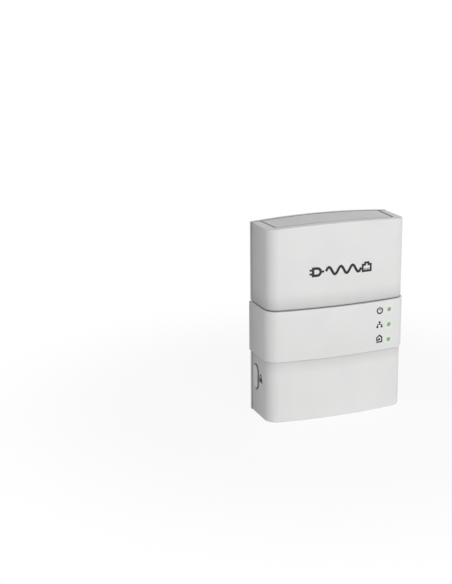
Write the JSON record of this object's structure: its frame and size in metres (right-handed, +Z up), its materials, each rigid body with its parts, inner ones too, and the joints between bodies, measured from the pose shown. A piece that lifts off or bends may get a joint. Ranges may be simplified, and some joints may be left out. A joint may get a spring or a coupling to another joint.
{
  "type": "powerline adapter",
  "caption": "Upright white plug-in powerline network adapter with a round earthed mains plug behind, a proud middle belt, a side push button and an Ethernet socket below.",
  "frame": {"origin": "the plug's axis at the face that meets the wall", "axes": "+Y along the plug into the wall, +Z up along the housing, +X to the right seen from the front"},
  "size_m": [0.0632, 0.0589, 0.0833],
  "materials": {
    "housing_white": "fine satin moulding",
    "belt_white": "fine satin moulding",
    "panel_white": "fine satin moulding",
    "cover_white": "fine satin moulding",
    "button_white": "satin",
    "label_film": "blank silver film",
    "pin_nickel": "bright nickel plating",
    "earth_nickel": "nickel-plated spring strip",
    "tinned_copper": "tinned copper lead",
    "board_green": "solder mask",
    "jack_black": "moulded",
    "contact_gold": "gold-plated",
    "module_black": "moulded",
    "fuse_brown": "moulded",
    "varistor_blue": "dipped",
    "film_yellow": "moulded case",
    "ferrite_grey": "sintered",
    "enamel_copper": "enamelled wire",
    "disc_blue": "dipped",
    "can_sleeve": "shrink sleeve",
    "bobbin_black": "moulded",
    "tape_yellow": "polyester tape",
    "chip_black": "moulded",
    "spreader_aluminium": "extruded",
    "crystal_steel": "drawn can",
    "led_green": "lit",
    "pipe_clear": "clear moulding",
    "switch_black": "moulded",
    "screw_steel": "zinc-plated"
  },
  "bodies": {
    "adapter": {"front_housing": "housing_white", "middle_belt": "belt_white", "top_panel": "panel_white", "rear_cover": "cover_white", "rating_label": "label_film", "contact_pins": "pin_nickel", "pin_leads": "tinned_copper", "earth_clips": "earth_nickel", "earth_sleeve": "earth_nickel", "main_board": "board_green", "ethernet_jack": "jack_black", "jack_contacts": "contact_gold", "network_magnetics": "module_black", "fuse": "fuse_brown", "varistor": "varistor_blue", "x_capacitor": "film_yellow", "choke_core": "ferrite_grey", "choke_winding": "enamel_copper", "y_capacitor": "disc_blue", "bridge_rectifier": "chip_black", "bulk_capacitors": "can_sleeve", "flyback_bobbin": "bobbin_black", "flyback_winding": "tape_yellow", "flyback_core": "ferrite_grey", "coupling_transformer": "module_black", "main_chip": "chip_black", "heat_spreader": "spreader_aluminium", "memory_chip": "chip_black", "ethernet_chip": "chip_black", "crystal": "crystal_steel", "output_capacitors": "can_sleeve", "power_inductor": "ferrite_grey", "status_leds": "led_green", "light_pipe": "pipe_clear", "switch_body": "switch_black", "housing_screws": "screw_steel"},
    "button": {"pairing_button": "button_white", "switch_plunger": "switch_black"}
  },
  "joints": [
    {"name": "button_press", "type": "slide", "parent": "adapter", "child": "button", "axis": [1, 0, 0], "range_m": [0, 0.0006], "stiffness_N_per_m": 800}
  ]
}
